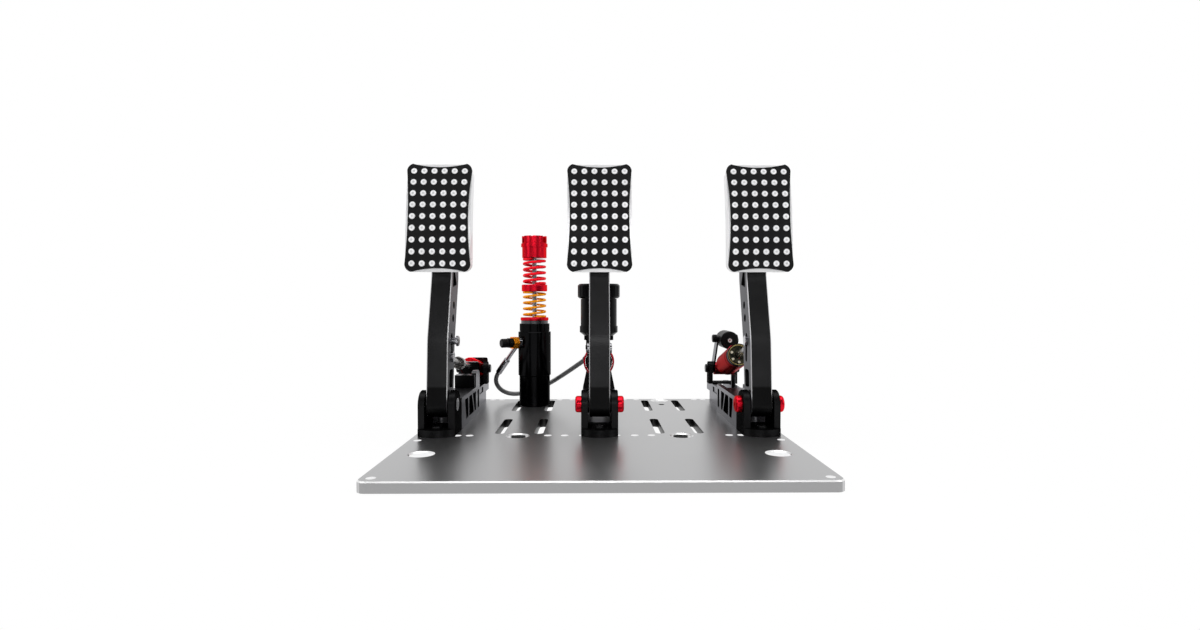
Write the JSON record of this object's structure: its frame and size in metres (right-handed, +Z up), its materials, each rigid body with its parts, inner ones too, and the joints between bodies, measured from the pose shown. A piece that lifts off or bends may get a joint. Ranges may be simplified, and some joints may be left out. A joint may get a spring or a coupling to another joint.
{
  "type": "sim racing pedal set",
  "caption": "Floor-standing clutch, brake and throttle pedals on a slotted metal base plate, with spring struts, a hydraulic brake circuit and studded curved pads",
  "frame": {"origin": "centre of the base plate's underside", "axes": "+X to the driver's right, +Y away from the driver, +Z up"},
  "size_m": [0.431, 0.435, 0.3128],
  "materials": {
    "plate_satin": "fine satin, milled edges bright",
    "black_anodised": "black anodised, satin, edges a little lighter",
    "silver_machined": "machined, satin",
    "grip_black": "black anodised, fine matt grain",
    "stud_steel": "turned, bright",
    "pin_steel": "turned and ground",
    "screw_black": "black oxide, satin",
    "red_anodised": "red anodised, glossy",
    "deep_red_anodised": "deep red anodised, satin",
    "orange_anodised": "orange anodised, satin",
    "red_spring": "red powder coat",
    "orange_spring": "orange powder coat",
    "bare_spring": "drawn wire",
    "cylinder_black": "black hard anodised, glossy",
    "piston_grey": "hard anodised grey",
    "reservoir_black": "moulded, semi-gloss",
    "housing_black": "moulded, fine grain",
    "brass": "turned",
    "hose_grey": "braid under a clear grey sleeve",
    "tube_black": "smooth"
  },
  "bodies": {
    "base": {"base_plate": "plate_satin", "bleed_cap": "tube_black", "brake_clevis": "black_anodised", "brake_frame": "black_anodised", "brake_hose": "hose_grey", "clutch_clevis": "black_anodised", "clutch_frame": "black_anodised", "ear_bushes": "housing_black", "feed_hose": "tube_black", "hose_fittings": "pin_steel", "master_cylinder": "cylinder_black", "master_mount": "black_anodised", "master_ring": "red_anodised", "pivot_knobs": "red_anodised", "pivot_pins": "pin_steel", "plate_screws": "screw_black", "port_adapter": "orange_anodised", "rear_pins": "screw_black", "rear_yokes": "black_anodised", "reservoir": "reservoir_black", "reservoir_bracket": "black_anodised", "reservoir_cap": "reservoir_black", "sensor_screw": "stud_steel", "sensor_straps": "black_anodised", "slave_body": "cylinder_black", "slave_gland": "cylinder_black", "slave_rod": "pin_steel", "slave_sleeve": "cylinder_black", "throttle_clevis": "black_anodised", "throttle_frame": "black_anodised", "throttle_sensor": "housing_black", "upper_spring": "red_spring"},
    "clutch_pedal": {"clutch_arm": "black_anodised", "clutch_pad_body": "silver_machined", "clutch_pad_grip": "grip_black", "clutch_pad_studs": "stud_steel", "clutch_arm_pins": "pin_steel"},
    "brake_pedal": {"brake_arm": "black_anodised", "brake_pad_body": "silver_machined", "brake_pad_grip": "grip_black", "brake_pad_studs": "stud_steel", "brake_arm_pin": "pin_steel"},
    "throttle_pedal": {"throttle_arm": "black_anodised", "throttle_pad_body": "silver_machined", "throttle_pad_grip": "grip_black", "throttle_pad_studs": "stud_steel", "throttle_arm_pin": "pin_steel"},
    "clutch_strut": {"clutch_barrel": "red_anodised", "clutch_spring": "bare_spring"},
    "clutch_rod": {"clutch_rod": "pin_steel"},
    "throttle_strut": {"throttle_barrel": "deep_red_anodised", "throttle_terminals": "brass", "throttle_spring": "bare_spring"},
    "throttle_rod": {"throttle_rod": "pin_steel"},
    "brake_push_rod": {"push_rod": "pin_steel"},
    "slave_piston": {"slave_piston": "piston_grey", "spring_seat": "red_anodised", "lower_spring": "orange_spring"},
    "slave_spacer": {"spring_spacer": "red_anodised"},
    "preload_cap": {"preload_cap": "red_anodised"}
  },
  "joints": [
    {"name": "clutch_pedal_pivot", "type": "hinge", "parent": "base", "child": "clutch_pedal", "pos_m": [-0.1793, -0.0275, 0.0427], "axis": [-1, 0, 0], "range_deg": [0, 18], "stiffness_Nm_per_rad": 25, "springref_deg": -2.86},
    {"name": "brake_pedal_pivot", "type": "hinge", "parent": "base", "child": "brake_pedal", "pos_m": [0, -0.0275, 0.0427], "axis": [-1, 0, 0], "range_deg": [0, 9], "stiffness_Nm_per_rad": 60, "springref_deg": -2.86},
    {"name": "throttle_pedal_pivot", "type": "hinge", "parent": "base", "child": "throttle_pedal", "pos_m": [0.1793, -0.0275, 0.0427], "axis": [-1, 0, 0], "range_deg": [0, 16], "stiffness_Nm_per_rad": 15, "springref_deg": -2.86},
    {"name": "clutch_strut_swing", "type": "hinge", "parent": "base", "child": "clutch_strut", "pos_m": [-0.1793, 0.179, 0.0605], "axis": [1, 0, 0], "range_deg": [0, 0.94]},
    {"name": "clutch_rod_slide", "type": "slide", "parent": "clutch_strut", "child": "clutch_rod", "axis": [0, 0.9846, -0.1747], "range_m": [0, 0.0165], "deforming": ["clutch_spring"]},
    {"name": "throttle_strut_swing", "type": "hinge", "parent": "base", "child": "throttle_strut", "pos_m": [0.1793, 0.179, 0.0605], "axis": [1, 0, 0], "range_deg": [0, 0.13]},
    {"name": "throttle_rod_slide", "type": "slide", "parent": "throttle_strut", "child": "throttle_rod", "axis": [0, 0.9654, -0.2606], "range_m": [0, 0.0199], "deforming": ["throttle_spring"]},
    {"name": "brake_push_rod_slide", "type": "slide", "parent": "base", "child": "brake_push_rod", "axis": [0, 0.9612, -0.2759], "range_m": [0, 0.0099]},
    {"name": "slave_piston_slide", "type": "slide", "parent": "base", "child": "slave_piston", "axis": [0, 0, 1], "range_m": [0, 0.012], "deforming": ["lower_spring"]},
    {"name": "slave_spacer_slide", "type": "slide", "parent": "base", "child": "slave_spacer", "axis": [0, 0, 1], "range_m": [0, 0.0045], "deforming": ["upper_spring"]},
    {"name": "preload_cap_turn", "type": "hinge", "parent": "base", "child": "preload_cap", "pos_m": [-0.0904, 0.1659, 0.2187], "axis": [0, 0, 1], "continuous": true}
  ],
  "couplings": [
    {"joint": "clutch_strut_swing", "follows": "clutch_pedal_pivot", "ratio": 0.052},
    {"joint": "clutch_rod_slide", "follows": "clutch_pedal_pivot", "m_per_rad": 0.0524},
    {"joint": "throttle_strut_swing", "follows": "throttle_pedal_pivot", "ratio": 0.008},
    {"joint": "throttle_rod_slide", "follows": "throttle_pedal_pivot", "m_per_rad": 0.071},
    {"joint": "brake_push_rod_slide", "follows": "brake_pedal_pivot", "m_per_rad": 0.06287},
    {"joint": "slave_piston_slide", "follows": "brake_pedal_pivot", "m_per_rad": 0.076},
    {"joint": "slave_spacer_slide", "follows": "brake_pedal_pivot", "m_per_rad": 0.0286}
  ]
}
